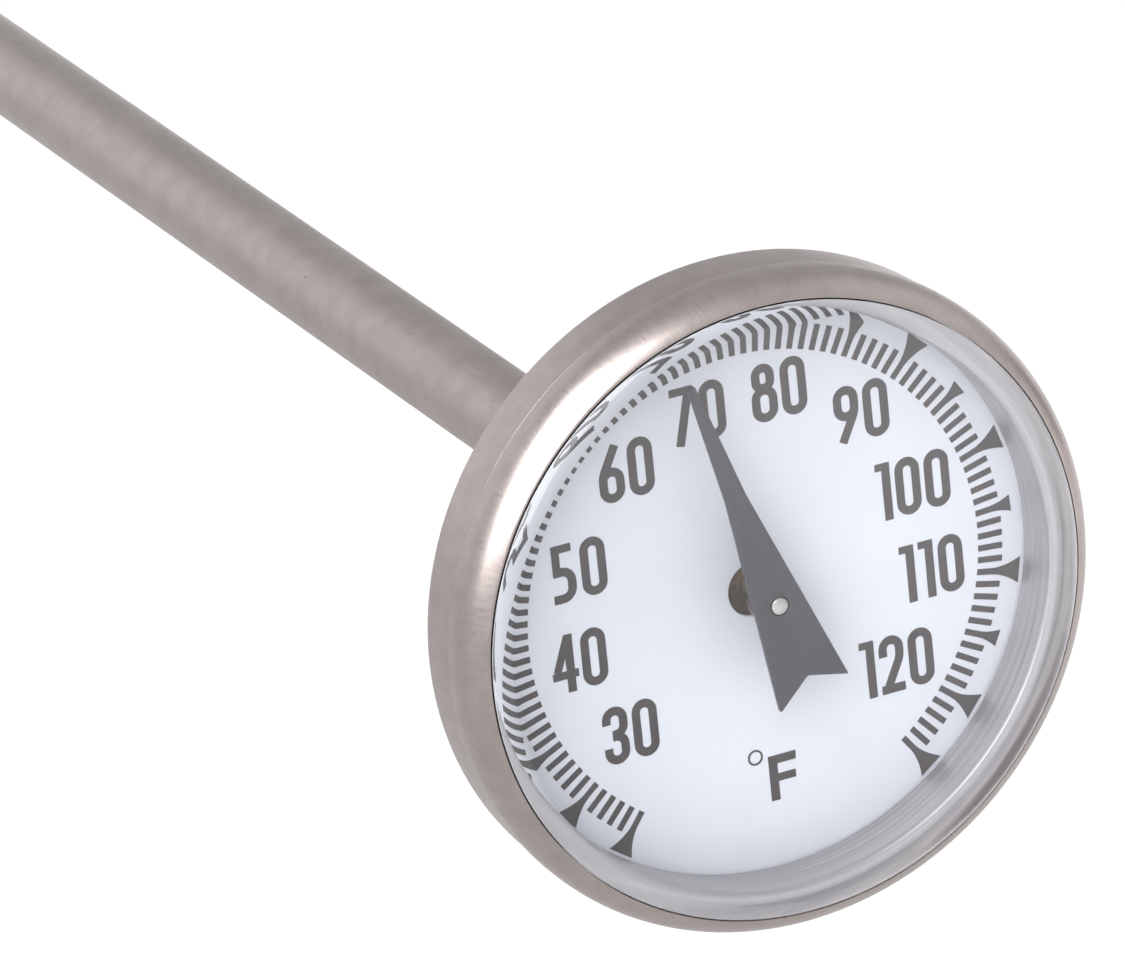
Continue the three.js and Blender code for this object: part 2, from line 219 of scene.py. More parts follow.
class Studio(PropertyGroup):
    """The camera, the floor and the lights."""

    azimuth: angle("Azimuth", "How far the camera is turned round the object", -22.97)
    elevation: angle("Elevation", "How far the camera looks down", 21.72)
    roll: angle("Roll", "How far the camera is tilted", -6.05)
    distance: length("Distance", "Camera to the point that it looks at", 391.36)
    aim: FloatVectorProperty(
        name="Aim", description="The point that the camera looks at", subtype="TRANSLATION", unit="LENGTH",
        default=(-6.73 * MM, -0.7 * MM, 5.31 * MM))
    lens: FloatProperty(name="Lens", description="Focal length in millimetres", default=323.2)
    floor_drop: length("Floor drop", "Stem's axis down to the floor", 110)
    floor_size: length("Floor size", "Side of the floor", 8000)
    sky: FloatProperty(name="Sky", description="Brightness of the pale surroundings", default=0.8)
    key: FloatProperty(name="Key light", description="Power of the large softbox", default=6.6, unit="POWER")
    key_size: length("Key size", "Side of the large softbox", 680)
    key_distance: length("Key distance", "Softbox to the head", 620)


class ThermometerSettings(PropertyGroup):
    """All that a user would change."""

    head: PointerProperty(type=HeadSizes)
    dial: PointerProperty(type=DialSizes)
    pointer: PointerProperty(type=PointerSizes)
    stem: PointerProperty(type=StemSizes)
    finishes: PointerProperty(type=Finishes)
    studio: PointerProperty(type=Studio)


# ---------------------------------------------------------------- drawing and shaping


class Pen:
    """Draws on a flat plane in edit mode: a chain of points, or a ribbon if it is given a width.

    The plane runs through a point of the Y axis. Its right is +X, and its up is +Y for an outline
    that will be spun round the axis, or +Z for a shape that lies on the dial.
    """

    def __init__(self, name, x, y, up=ALONG, level=0.0, width=0.0, heading=0.0):
        self.up = up
        self.towards = RIGHT.cross(up)
        self.level = level
        self.width = width
        self.heading = math.radians(heading)
        self.x, self.y = x, y
        bpy.ops.object.select_all(action="DESELECT")
        bpy.ops.mesh.primitive_plane_add(size=MM, location=(0, 0, 0))
        self.shape = bpy.context.object
        self.shape.name = name
        self.shape.data.name = name
        bpy.ops.object.mode_set(mode="EDIT")
        bpy.ops.mesh.merge(type="CENTER")
        left = Vector((-math.sin(self.heading), math.cos(self.heading))) * width
        bpy.ops.transform.translate(value=self.place(x - left.x / 2, y - left.y / 2))
        if width:
            bpy.ops.mesh.extrude_vertices_move(TRANSFORM_OT_translate={"value": self.step(*left)})
            bpy.ops.mesh.select_all(action="SELECT")

    def step(self, x, y):
        """A move on the plane as a move in space."""
        return RIGHT * x + self.up * y

    def place(self, x, y):
        """A point on the plane as a point in space."""
        return self.step(x, y) + ALONG * self.level

    def line_to(self, x, y):
        """A straight stretch to a point."""
        move = {"value": self.step(x - self.x, y - self.y)}
        if self.width:
            bpy.ops.mesh.extrude_region_move(TRANSFORM_OT_translate=move)
        else:
            bpy.ops.mesh.extrude_vertices_move(TRANSFORM_OT_translate=move)
        self.x, self.y = x, y

    def lines_to(self, *points):
        """Straight stretches through several points."""
        for x, y in points:
            self.line_to(x, y)

    def forward(self, distance):
        """A straight stretch the way that the pen is heading."""
        self.line_to(self.x + distance * math.cos(self.heading), self.y + distance * math.sin(self.heading))

    def arc(self, centre_x, centre_y, degrees, steps=8):
        """A round stretch about a centre, anticlockwise if the angle is positive."""
        turn = math.radians(degrees)
        bpy.ops.mesh.spin(steps=steps, angle=-turn, center=self.place(centre_x, centre_y), axis=self.towards)
        x, y = self.x - centre_x, self.y - centre_y
        self.x = centre_x + x * math.cos(turn) - y * math.sin(turn)
        self.y = centre_y + x * math.sin(turn) + y * math.cos(turn)
        self.heading += turn

    def bend(self, radius, degrees, steps=8):
        """A round stretch that carries on the way that the pen is heading, to its left if positive."""
        side = math.copysign(radius, degrees)
        centre_x = self.x - side * math.sin(self.heading)
        self.arc(centre_x, self.y + side * math.cos(self.heading), degrees, steps)

    def lift(self):
        """Ends the drawing, with points that fell on each other joined."""
        bpy.ops.mesh.select_all(action="SELECT")
        bpy.ops.mesh.remove_doubles(threshold=SAME_PLACE)
        bpy.ops.object.mode_set(mode="OBJECT")
        return self.shape


def work_on(shape, mode="EDIT"):
    """Makes one object the active and only selected one, in the mode asked for."""
    bpy.ops.object.select_all(action="DESELECT")
    shape.select_set(True)
    bpy.context.view_layer.objects.active = shape
    bpy.ops.object.mode_set(mode=mode)
    if mode == "EDIT":
        bpy.ops.mesh.select_all(action="SELECT")


def tidy_shell():
    """Joins the edited shape's double points and turns its faces outwards."""
    bpy.ops.mesh.select_all(action="SELECT")
    bpy.ops.mesh.remove_doubles(threshold=SAME_PLACE)
    bpy.ops.mesh.normals_make_consistent(inside=False)
    bpy.ops.object.mode_set(mode="OBJECT")


def spun(pen, segments):
    """The closed body that a drawn outline makes when it is turned once round the Y axis."""
    pen.lift()
    work_on(pen.shape)
    bpy.ops.mesh.spin(steps=segments, angle=math.tau, center=(0, 0, 0), axis=ALONG)
    tidy_shell()
    return pen.shape


def turned_ring(name, bore, part, segments):
    """A plain ring or tube with a bore, as wide and as long as a node."""
    pen = Pen(name, bore, part.front)
    pen.lines_to((part.radius, part.front), (part.radius, part.back), (bore, part.back), (bore, part.front))
    return spun(pen, segments)


def thickened(shape, move):
    """Gives a flat shape its thickness."""
    work_on(shape)
    bpy.ops.mesh.extrude_region_move(TRANSFORM_OT_translate={"value": move})
    tidy_shell()
    return shape


def with_modifier(shape, kind, **values):
    """Adds a modifier to a shape and applies it."""
    work_on(shape, "OBJECT")
    modifier = shape.modifiers.new(kind.title(), kind)
    for name, value in values.items():
        setattr(modifier, name, value)
    bpy.ops.object.modifier_apply(modifier=modifier.name)
    return shape


def softened(shape, width, segments=2, sharper_than=35):
    """Rounds a shape's sharp edges a little."""
    return with_modifier(
        shape, "BEVEL", width=width, segments=segments, limit_method="ANGLE",
        angle_limit=math.radians(sharper_than), use_clamp_overlap=True)


def combined(shape, other, operation):
    """Joins, cuts or overlaps two closed shapes, and removes the second."""
    with_modifier(shape, "BOOLEAN", operation=operation, object=other, solver="EXACT")
    bpy.data.objects.remove(other)
    return shape


def one_object(shapes, name):
    """Makes several shapes one object."""
    work_on(shapes[0], "OBJECT")
    for shape in shapes:
        shape.select_set(True)
    bpy.ops.object.join()
    joined = bpy.context.object
    joined.name = name
    joined.data.name = name
    return joined


def copy_of(shape):
    """A copy of an object with a mesh of its own."""
    work_on(shape, "OBJECT")
    bpy.ops.object.duplicate(linked=False)
    return bpy.context.object


def settle(shape):
    """Puts an object's place and turn into its mesh."""
    work_on(shape, "OBJECT")
    bpy.ops.object.transform_apply(location=True, rotation=True, scale=True)
    return shape


def finish_piece(shape, body, slot, *nodes, finish=None):
    """Gives a shape its slot's finish, or another one, and makes it a piece that stands for nodes."""
    work_on(shape, "OBJECT")
    bpy.ops.object.shade_smooth_by_angle(angle=SMOOTH_BELOW)
    shape.data.materials.clear()
    shape.data.materials.append(FINISHES[finish or slot])
    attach(shape, body)
    if nodes:
        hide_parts(*nodes)


# ---------------------------------------------------------------- finishes


# Sockets of a Mix node that mixes colours.
MIX_SHARE, MIX_UNDER, MIX_OVER, MIX_RESULT = 0, 6, 7, 2


class Recipe:
    """A material's nodes, with short ways to add them and join them up."""

    def __init__(self, name, **uniform):
        self.material = bpy.data.materials.new(name)
        self.material.use_nodes = True
        self.tree = self.material.node_tree
        self.shader = self.tree.nodes["Principled BSDF"]
        for socket, value in uniform.items():
            self.shader.inputs[socket.replace("_", " ")].default_value = value
        self.object_place = self.add("ShaderNodeTexCoord").outputs["Object"]
        self.place = self.scaled(self.object_place, (1 / MM, 1 / MM, 1 / MM))

    def add(self, kind, **settings):
        """A new node."""
        node = self.tree.nodes.new(kind)
        for name, value in settings.items():
            setattr(node, name, value)
        return node

    def join(self, output, socket):
        """A link from an output to a socket."""
        self.tree.links.new(output, socket)

    def vector(self, operation, first, second=None):
        """The result of a vector operation."""
        node = self.add("ShaderNodeVectorMath", operation=operation)
        self.join(first, node.inputs[0])
        if second is not None:
            node.inputs[1].default_value = second
        return node.outputs["Value" if operation == "LENGTH" else "Vector"]

    def scaled(self, vector, by):
        """A vector stretched along each axis."""
        return self.vector("MULTIPLY", vector, by)

    def noise(self, vector, scale, detail=3.0, roughness=0.55):
        """A cloud of grey values with about this many lumps to a unit."""
        node = self.add("ShaderNodeTexNoise")
        node.inputs["Scale"].default_value = scale
        node.inputs["Detail"].default_value = detail
        node.inputs["Roughness"].default_value = roughness
        self.join(vector, node.inputs["Vector"])
        return node.outputs["Fac"]

    def ranged(self, value, low, high, from_low=0.3, from_high=0.7):
        """A value carried from one range to another."""
        node = self.add("ShaderNodeMapRange")
        sockets = "From Min", "From Max", "To Min", "To Max"
        for socket, number in zip(sockets, (from_low, from_high, low, high)):
            node.inputs[socket].default_value = number
        self.join(value, node.inputs["Value"])
        return node.outputs["Result"]

    def shades(self, cloud, base, darker, lighter):
        """A colour that wanders with a cloud between two strengths of itself."""
        node = self.add("ShaderNodeMix", data_type="RGBA")
        self.join(self.ranged(cloud, 0, 1), node.inputs[MIX_SHARE])
        node.inputs[MIX_UNDER].default_value = [min(1, c * darker) for c in base] + [1]
        node.inputs[MIX_OVER].default_value = [min(1, c * lighter) for c in base] + [1]
        return node.outputs[MIX_RESULT]

    def flecked(self, under, cloud, most, from_low, from_high, base, strength):
        """A colour with flecks of the base colour at another strength where a cloud is thick."""
        node = self.add("ShaderNodeMix", data_type="RGBA")
        self.join(self.ranged(cloud, 0, most, from_low, from_high), node.inputs[MIX_SHARE])
        self.join(under, node.inputs[MIX_UNDER])
        node.inputs[MIX_OVER].default_value = [c * strength for c in base] + [1]
        return node.outputs[MIX_RESULT]

    def turned_place(self, across, around):
        """A place whose pattern runs in rings: close-set across them and long around them."""
        parts = self.add("ShaderNodeSeparateXYZ")
        self.join(self.place, parts.inputs[0])
        flat = self.scaled(self.place, (1, 0, 1))
        ring = self.add("ShaderNodeCombineXYZ")
        radius = self.add("ShaderNodeMath", operation="MULTIPLY")
        self.join(self.vector("LENGTH", flat), radius.inputs[0])
        radius.inputs[1].default_value = across
        height = self.add("ShaderNodeMath", operation="MULTIPLY")
        self.join(parts.outputs["Y"], height.inputs[0])
        height.inputs[1].default_value = across
        self.join(radius.outputs[0], ring.inputs["X"])
        self.join(height.outputs[0], ring.inputs["Y"])
        around_it = self.scaled(self.vector("NORMALIZE", flat), (around, 0, around))
        total = self.add("ShaderNodeVectorMath", operation="ADD")
        self.join(ring.outputs[0], total.inputs[0])
        self.join(around_it, total.inputs[1])
        return total.outputs[0]

    def bump(self, height, depth, over=None):
        """A bump of this depth in metres, over another one if it is given."""
        node = self.add("ShaderNodeBump")
        node.inputs["Distance"].default_value = depth
        self.join(height, node.inputs["Height"])
        if over is not None:
            self.join(over, node.inputs["Normal"])
        return node.outputs["Normal"]

    def use(self, **sockets):
        """Joins outputs to the shader's sockets by name."""
        for name, output in sockets.items():
            self.join(output, self.shader.inputs[name.replace("_", " ")])
        return self.material


def polished_round_steel(base):
    """Case and bezel: satin steel with a fine sparkle, and short marks across the rim."""
    recipe = Recipe("case_steel", Metallic=1.0)
    mottle = recipe.noise(recipe.place, 1.1, detail=4)
    grain = recipe.noise(recipe.place, 9.0, detail=4, roughness=0.65)
    rings = recipe.noise(recipe.turned_place(20, 8), 1.0, detail=2)
    across = recipe.noise(recipe.turned_place(1.2, 130), 1.0, detail=5, roughness=0.7)
    base_colour = recipe.shades(mottle, base, 0.93, 1.07)
    base_colour = recipe.flecked(base_colour, grain, 0.3, 0.55, 0.75, base, 0.6)
    roughness = recipe.ranged(across, 0.25, 0.38)
    normal = recipe.bump(across, 0.0009 * MM)
    normal = recipe.bump(rings, 0.0012 * MM, over=normal)
    normal = recipe.bump(grain, 0.0035 * MM, over=normal)
    return recipe.use(Base_Color=base_colour, Roughness=roughness, Normal=normal)


def drawn_steel(base):
    """Stem: satin steel tube with fine lines along it and tiny specks."""
    recipe = Recipe("stem_steel", Metallic=1.0)
    lines = recipe.noise(recipe.scaled(recipe.place, (16, 0.5, 16)), 1.0, detail=3)
    grain = recipe.noise(recipe.place, 8.0, detail=4, roughness=0.65)
    specks = recipe.noise(recipe.place, 4.0, detail=2)
    mottle = recipe.noise(recipe.place, 0.8, detail=3)
    base_colour = recipe.shades(mottle, base, 0.93, 1.07)
    base_colour = recipe.flecked(base_colour, grain, 0.3, 0.55, 0.75, base, 0.6)
    base_colour = recipe.flecked(base_colour, specks, 0.6, 0.72, 0.76, base, 0.4)
    roughness = recipe.ranged(lines, 0.34, 0.48)
    normal = recipe.bump(lines, 0.002 * MM)
    normal = recipe.bump(grain, 0.004 * MM, over=normal)
    return recipe.use(Base_Color=base_colour, Roughness=roughness, Normal=normal)


def turned_steel(base):
    """Ring under the crystal: bright satin steel with streaks that run round it."""
    recipe = Recipe("ring_steel", Metallic=0.85)
    streaks = recipe.noise(recipe.turned_place(7, 0.9), 1.0, detail=4, roughness=0.6)
    grain = recipe.noise(recipe.place, 9.0, detail=3)
    base_colour = recipe.shades(streaks, base, 0.72, 1.12)
    normal = recipe.bump(streaks, 0.006 * MM)
    normal = recipe.bump(grain, 0.003 * MM, over=normal)
    return recipe.use(Base_Color=base_colour, Roughness=recipe.ranged(streaks, 0.42, 0.58), Normal=normal)


def machined_steel(base):
    """Nut, shaft and pins: steel with turning rings."""
    recipe = Recipe("nut_steel", Metallic=1.0)
    rings = recipe.noise(recipe.turned_place(9, 2), 1.0, detail=2)
    mottle = recipe.noise(recipe.place, 1.2, detail=3)
    base_colour = recipe.shades(mottle, base, 0.92, 1.06)
    roughness = recipe.ranged(rings, 0.26, 0.42)
    normal = recipe.bump(rings, 0.003 * MM)
    return recipe.use(Base_Color=base_colour, Roughness=roughness, Normal=normal)


def plain_metal(name, base, roughness, grain):
    """Metal with a rolled grain, for the pieces inside."""
    recipe = Recipe(name, Metallic=1.0)
    cloud = recipe.noise(recipe.scaled(recipe.place, (grain, grain * 0.3, grain)), 1.0, detail=4)
    base_colour = recipe.shades(cloud, base, 0.88, 1.08)
    rough = recipe.ranged(cloud, roughness - 0.07, roughness + 0.07)
    return recipe.use(Base_Color=base_colour, Roughness=rough, Normal=recipe.bump(cloud, 0.002 * MM))


def clear_plastic(tint):
    """Crystal: clear moulded plastic that bends what is seen through it and lets lamps through."""
    recipe = Recipe("clear_crystal", Roughness=0.03, IOR=1.49)
    recipe.shader.inputs["Transmission Weight"].default_value = 1.0
    recipe.shader.inputs["Base Color"].default_value = (*tint, 1)
    faint = recipe.noise(recipe.place, 0.5, detail=2)
    recipe.use(Normal=recipe.bump(faint, 0.003 * MM))
    clear = recipe.add("ShaderNodeBsdfTransparent")
    clear.inputs["Color"].default_value = (0.94, 0.95, 0.96, 1)
    path = recipe.add("ShaderNodeLightPath")
    mix = recipe.add("ShaderNodeMixShader")
    recipe.join(path.outputs["Is Shadow Ray"], mix.inputs[0])
    recipe.join(recipe.shader.outputs[0], mix.inputs[1])
    recipe.join(clear.outputs[0], mix.inputs[2])
    output = recipe.tree.nodes["Material Output"]
    recipe.join(mix.outputs[0], output.inputs["Surface"])
    return recipe.material


def enamel(name, base, roughness, mottle_scale, wander, grain_depth):
    """Painted metal: an even coat with a faint orange peel."""
    recipe = Recipe(name)
    cloud = recipe.noise(recipe.place, mottle_scale, detail=5, roughness=0.6)
    peel = recipe.noise(recipe.place, 7.0, detail=2)
    base_colour = recipe.shades(cloud, base, 1 - wander, 1 + wander)
    rough = recipe.ranged(peel, roughness - 0.06, roughness + 0.06)
    return recipe.use(Base_Color=base_colour, Roughness=rough, Normal=recipe.bump(peel, grain_depth * MM))


def printed_ink(base):
    """Scale: matt screen print, a little thin in places."""
    recipe = Recipe("scale_ink")
    cloud = recipe.noise(recipe.place, 0.35, detail=2)
    grain = recipe.noise(recipe.place, 9.0, detail=3)
    base_colour = recipe.shades(cloud, base, 0.8, 1.35)
    base_colour = recipe.flecked(base_colour, grain, 0.35, 0.58, 0.75, base, 2.6)
    normal = recipe.bump(grain, 0.002 * MM)
    return recipe.use(Base_Color=base_colour, Roughness=recipe.ranged(grain, 0.5, 0.7), Normal=normal)


def moulded_rubber(base):
    """Gasket: matt grey rubber."""
    recipe = Recipe("gasket_rubber")
    grain = recipe.noise(recipe.place, 5.0, detail=4)
    normal = recipe.bump(grain, 0.004 * MM)
    base_colour = recipe.shades(grain, base, 0.8, 1.3)
    return recipe.use(Base_Color=base_colour, Roughness=recipe.ranged(grain, 0.75, 0.9), Normal=normal)


def glow(name, dim, bright, dim_at, bright_at, tint=(1, 1, 1)):
    """A card that the steel mirrors: it glows from dim to bright along X."""
    recipe = Recipe(name)
    parts = recipe.add("ShaderNodeSeparateXYZ")
    recipe.join(recipe.object_place, parts.inputs[0])
    light = recipe.add("ShaderNodeEmission")
    light.inputs["Color"].default_value = (*tint, 1)
    recipe.join(recipe.ranged(parts.outputs["X"], dim, bright, dim_at, bright_at), light.inputs["Strength"])
    recipe.join(light.outputs[0], recipe.tree.nodes["Material Output"].inputs["Surface"])
    return recipe.material


def floor_finish(base):
    """Plain pale floor."""
    recipe = Recipe("pale_floor", Roughness=0.9)
    cloud = recipe.noise(recipe.place, 0.002, detail=2)
    return recipe.use(Base_Color=recipe.shades(cloud, base, 0.99, 1.01))


def make_finishes(colours):
    """Makes a finish for each slot, and a darker brass for the hub. The bushes' brass and the hub's dark brown are
    painted shade.
    """
    FINISHES.update({
        "case_steel": polished_round_steel(colours.case),
        "stem_steel": drawn_steel(colours.stem),
        "ring_steel": turned_steel(colours.ring),
        "nut_steel": machined_steel(colours.nut),
        "spring_steel": plain_metal("spring_steel", colours.spring, 0.36, 4.0),
        # The bushes' darkened brass is painted shade.
        "bush_brass": plain_metal("bush_brass", colours.brass, 0.32, 6.0),
        # The hub's darker brass is painted shade.
        "hub_brass_painted_shade": plain_metal("hub_brass_painted_shade", colours.hub, 0.4, 6.0),
        "bimetal_strip": plain_metal("bimetal_strip", colours.bimetal, 0.4, 3.0),
        "clear_crystal": clear_plastic(colours.crystal),
        "gasket_rubber": moulded_rubber(colours.rubber),
        "dial_white": enamel("dial_white", colours.dial, 0.42, 0.25, 0.015, 0.0015),
        "pointer_black": enamel("pointer_black", colours.pointer, 0.45, 2.5, 0.12, 0.002),
        "scale_ink": printed_ink(colours.ink),
    })


# ---------------------------------------------------------------- the head


def crown_centre(sizes):
    """Middle of the bezel's rounded front: its distance from the axis and its place along it."""
    rise = math.sqrt(sizes.crown**2 - (sizes.crown - sizes.lip) ** 2)
    return BEZEL.radius - sizes.crown, BEZEL.front + rise


def crown_angle(radius, distance, centre):
    """Where an arc about the crown's centre reaches a distance from the axis, in degrees."""
    return -math.degrees(math.acos((distance - centre) / radius))


class THERMOMETER_OT_bezel(Operator):
    """Models the rolled bezel ring that holds the crystal"""

    bl_idname = "thermometer.bezel"
    bl_label = "Bezel ring"

    def execute(self, context):
        sizes = context.scene.thermometer.head
        window = BEZEL.radius - sizes.lip
        centre, crown_y = crown_centre(sizes)
        inner = sizes.crown - sizes.bezel_sheet
        outer_turn = -crown_angle(sizes.crown, window, centre)
        inner_turn = -crown_angle(inner, window, centre)
        pen = Pen("bezel", window, BEZEL.front)
        pen.arc(centre, crown_y, outer_turn, steps=16)
        pen.line_to(BEZEL.radius, BEZEL.back - sizes.rear_rounding)
        pen.arc(BEZEL.radius - sizes.rear_rounding, BEZEL.back - sizes.rear_rounding, 90, steps=6)
        pen.lines_to(
            (BEZEL.radius - sizes.bezel_sheet, BEZEL.back), (BEZEL.radius - sizes.bezel_sheet, crown_y))
        pen.arc(centre, crown_y, -inner_turn, steps=10)
        pen.line_to(window, BEZEL.front)
        bezel = softened(spun(pen, sizes.segments), sizes.softened)
        finish_piece(bezel, "head", "case_steel", "bezel_ring")
        return {"FINISHED"}


class THERMOMETER_OT_case(Operator):
    """Models the pressed case cup behind the bezel"""

    bl_idname = "thermometer.case"
    bl_label = "Case"

    def execute(self, context):
        sizes = context.scene.thermometer.head
        sheet = sizes.case_sheet
        bore = STEM.radius + sizes.stem_room
        neck = BEZEL.radius - sizes.bezel_sheet - sizes.seat
        neck_bore = neck - sheet
        front = BEZEL.back + sizes.seat
        shoulder = SUPPORT.back + sizes.seat + sheet
        corner = CASE.radius - sizes.case_corner
        fillet = sizes.pan_radius + sizes.pan_fillet
        pan = sizes.pan_radius - sizes.pan_corner
        pen = Pen("case", bore, CASE.back)
        pen.line_to(pan, CASE.back)
        pen.arc(pan, CASE.back - sizes.pan_corner, -90, steps=10)
        pen.line_to(sizes.pan_radius, shoulder + sizes.pan_fillet)
        pen.arc(fillet, shoulder + sizes.pan_fillet, 90, steps=6)
        pen.line_to(corner, shoulder)
        pen.arc(corner, shoulder - sizes.case_corner, -90, steps=10)
        pen.line_to(CASE.radius, front + sizes.case_edge)
        pen.arc(CASE.radius - sizes.case_edge, front + sizes.case_edge, -90, steps=5)
        pen.lines_to(
            (neck, front), (neck, CASE.front), (neck_bore, CASE.front), (neck_bore, front + sheet),
            (CASE.radius - sheet, front + sheet), (CASE.radius - sheet, shoulder - sizes.case_corner))
        pen.arc(corner, shoulder - sizes.case_corner, 90, steps=4)
        pen.line_to(fillet, shoulder - sheet)
        pen.arc(fillet, shoulder + sizes.pan_fillet, -90, steps=6)
        pen.line_to(sizes.pan_radius - sheet, CASE.back - sizes.pan_corner)
        pen.arc(pan, CASE.back - sizes.pan_corner, 90, steps=6)
        pen.lines_to((bore, CASE.back - sheet), (bore, CASE.back))
        case = softened(spun(pen, sizes.segments), sizes.softened)
        finish_piece(case, "head", "case_steel", "case_cup")
        return {"FINISHED"}


class THERMOMETER_OT_crystal(Operator):
    """Models the clear crystal, which stands a little proud of the bezel"""

    bl_idname = "thermometer.crystal"
    bl_label = "Crystal"

    def execute(self, context):
        sizes = context.scene.thermometer.head
        window = BEZEL.radius - sizes.lip - sizes.seat
        centre, crown_y = crown_centre(sizes)
        seat = sizes.crown - sizes.bezel_sheet - sizes.seat
        seat_from = crown_angle(seat, window, centre)
        seat_to = crown_angle(seat, CRYSTAL.radius, centre)
        seat_y = crown_y + seat * math.sin(math.radians(seat_from))
        edge = sizes.crystal_edge
        proud = BEZEL.front - CRYSTAL.front
        reach = math.sqrt(edge**2 - (edge - proud) ** 2)
        back = CRYSTAL.front + sizes.crystal_thickness
        pen = Pen("crystal", 0, CRYSTAL.front)
        pen.lines_to((window - reach - sizes.flat_rim, CRYSTAL.front), (window - reach, CRYSTAL.front))
        pen.arc(window - reach, CRYSTAL.front + edge, math.degrees(math.asin(reach / edge)), steps=16)
        pen.line_to(window, seat_y)
        pen.arc(centre, crown_y, seat_to - seat_from, steps=5)
        pen.lines_to(
            (CRYSTAL.radius, CRYSTAL.back), (RING.radius, CRYSTAL.back), (RING.radius, back),
            (RING.radius - sizes.flat_rim, back), (0, back))
        crystal = softened(spun(pen, sizes.segments), sizes.softened, segments=3)
        finish_piece(crystal, "head", "clear_crystal", "crystal")
        return {"FINISHED"}


class THERMOMETER_OT_crystal_ring(Operator):
    """Models the steel ring that stands on the dial and carries the crystal"""

    bl_idname = "thermometer.crystal_ring"
    bl_label = "Crystal ring"

    def execute(self, context):
        sizes = context.scene.thermometer.head
        ring = turned_ring("crystal_ring", RING.radius - sizes.ring_wall, RING, sizes.segments)
        softened(ring, sizes.ring_edge, segments=4)
        finish_piece(ring, "head", "ring_steel", "crystal_ring")
        return {"FINISHED"}


# ---------------------------------------------------------------- the dial and its scale

# Each stroke of a digit: start x and y, stroke width, heading in degrees, then its stretches:
# (length,) runs straight and (radius, degrees) bends, to the left if positive. In millimetres,
# from the digit's middle.
BOLD = 0.36
SLIM = 0.33
HALF_UP = 1.21              # half the height of a digit
LOOP = 0.36                 # radius of a loop's middle line
BEND_STEP = 12              # degrees that one facet of a bend turns

LOW_LOOP = (-LOOP, -0.665, BOLD, 90, (0.37,), (LOOP, -180), (0.37,), (LOOP, -180))
SIX = (LOW_LOOP, (-LOOP, -0.5, BOLD, 90, (0.2,), (0.9, -27), (1.146,)))

DIGITS = {
    "0": ((-LOOP, -0.67, BOLD, 90, (1.34,), (LOOP, -180), (1.34,), (LOOP, -180)),),
    "1": ((0.14, -HALF_UP, BOLD, 90, (2 * HALF_UP,)), (0.1, 1.06, 0.3, 180, (0.42,))),
    "2": ((-LOOP, 0.36, BOLD, 90, (0.31,), (LOOP, -180), (0.22,), (0.8, -26), (1.14,)),
          (-0.52, -1.03, BOLD, 0, (1.02,))),
    "3": ((-LOOP, 0.5, BOLD, 90, (0.17,), (LOOP, -180), (0.25,), (0.38, -90), (0.12,)),
          (-LOOP, -0.5, BOLD, -90, (0.17,), (LOOP, 180), (0.25,), (0.38, 90), (0.12,))),
    "4": ((0.24, -HALF_UP, BOLD, 90, (2 * HALF_UP,)), (0.2, 1.1, SLIM, 249.5, (1.5,)),
          (-0.54, -0.46, SLIM, 0, (1.12,))),
    "5": ((-0.46, 1.04, SLIM, 0, (0.86,)), (-0.29, 1.15, SLIM, -90, (1.2,)),
          (-0.44, 0.08, BOLD, 0, (0.34,), (0.42, -90), (0.27,), (0.42, -90), (0.4,))),
    "6": SIX,
    "7": ((-0.5, 1.04, SLIM, 0, (1.0,)), (0.34, 1.12, BOLD, 256.5, (2.39,))),
    "8": ((-0.31, 0.5, BOLD, 90, (0.22,), (0.31, -180), (0.22,), (0.31, -180)),
          (-0.37, -0.66, BOLD, 90, (0.4,), (0.37, -180), (0.4,), (0.37, -180))),
    "9": SIX,
    "F": ((-0.41, -0.95, 0.38, 90, (1.9,)), (-0.5, 0.77, BOLD, 0, (1.1,)), (-0.5, -0.01, SLIM, 0, (1.04,))),
    "o": ((-0.285, 0, 0.08, 90, (0.285, -180), (0.285, -180)),),
}
HALF_WIDTHS = {"1": 0.32, "F": 0.6, "o": 0.325}
HALF_WIDTH = 0.54
UPSIDE_DOWN = ("9",)

# Middle of each number and sign, right of and above the dial's centre, in millimetres.
NUMBER_PLACES = {
    "30": (-5.87, -4.47), "40": (-7.72, -0.96), "50": (-7.35, 2.76), "60": (-4.94, 6.31), "70": (-1.69, 7.85),
    "80": (1.83, 7.94), "90": (5.25, 6.14), "100": (7.18, 2.55), "110": (7.67, -1.13), "120": (5.78, -4.68),
    "F": (0.43, -8.08), "o": (-0.7, -7.01),
}


def drawn_digit(symbol, ink):
    """One raised printed digit at the middle of the dial's face, modelled stroke by stroke."""
    digit = None
    for x, y, width, heading, *stretches in DIGITS[symbol]:
        pen = Pen("digit_" + symbol, x * MM, y * MM, UP, DIAL.front, width * MM, heading)
        for stretch in stretches:
            if len(stretch) == 1:
                pen.forward(stretch[0] * MM)
            else:
                pen.bend(stretch[0] * MM, stretch[1], steps=max(3, round(abs(stretch[1]) / BEND_STEP)))
        stroke = thickened(pen.lift(), VIEWER * ink)
        digit = stroke if digit is None else combined(digit, stroke, "UNION")
    if symbol in UPSIDE_DOWN:
        work_on(digit)
        bpy.ops.transform.rotate(value=math.pi, orient_axis="Y", center_override=(0, 0, 0))
        bpy.ops.object.mode_set(mode="OBJECT")
    return digit


class THERMOMETER_OT_dial(Operator):
    """Models the dial plate with its hole"""

    bl_idname = "thermometer.dial"
    bl_label = "Dial plate"

    def execute(self, context):
        head = context.scene.thermometer.head
        dial = turned_ring("dial", context.scene.thermometer.dial.hole, DIAL, head.segments)
        softened(dial, head.softened)
        finish_piece(dial, "head", "dial_white", "dial_plate")
        return {"FINISHED"}


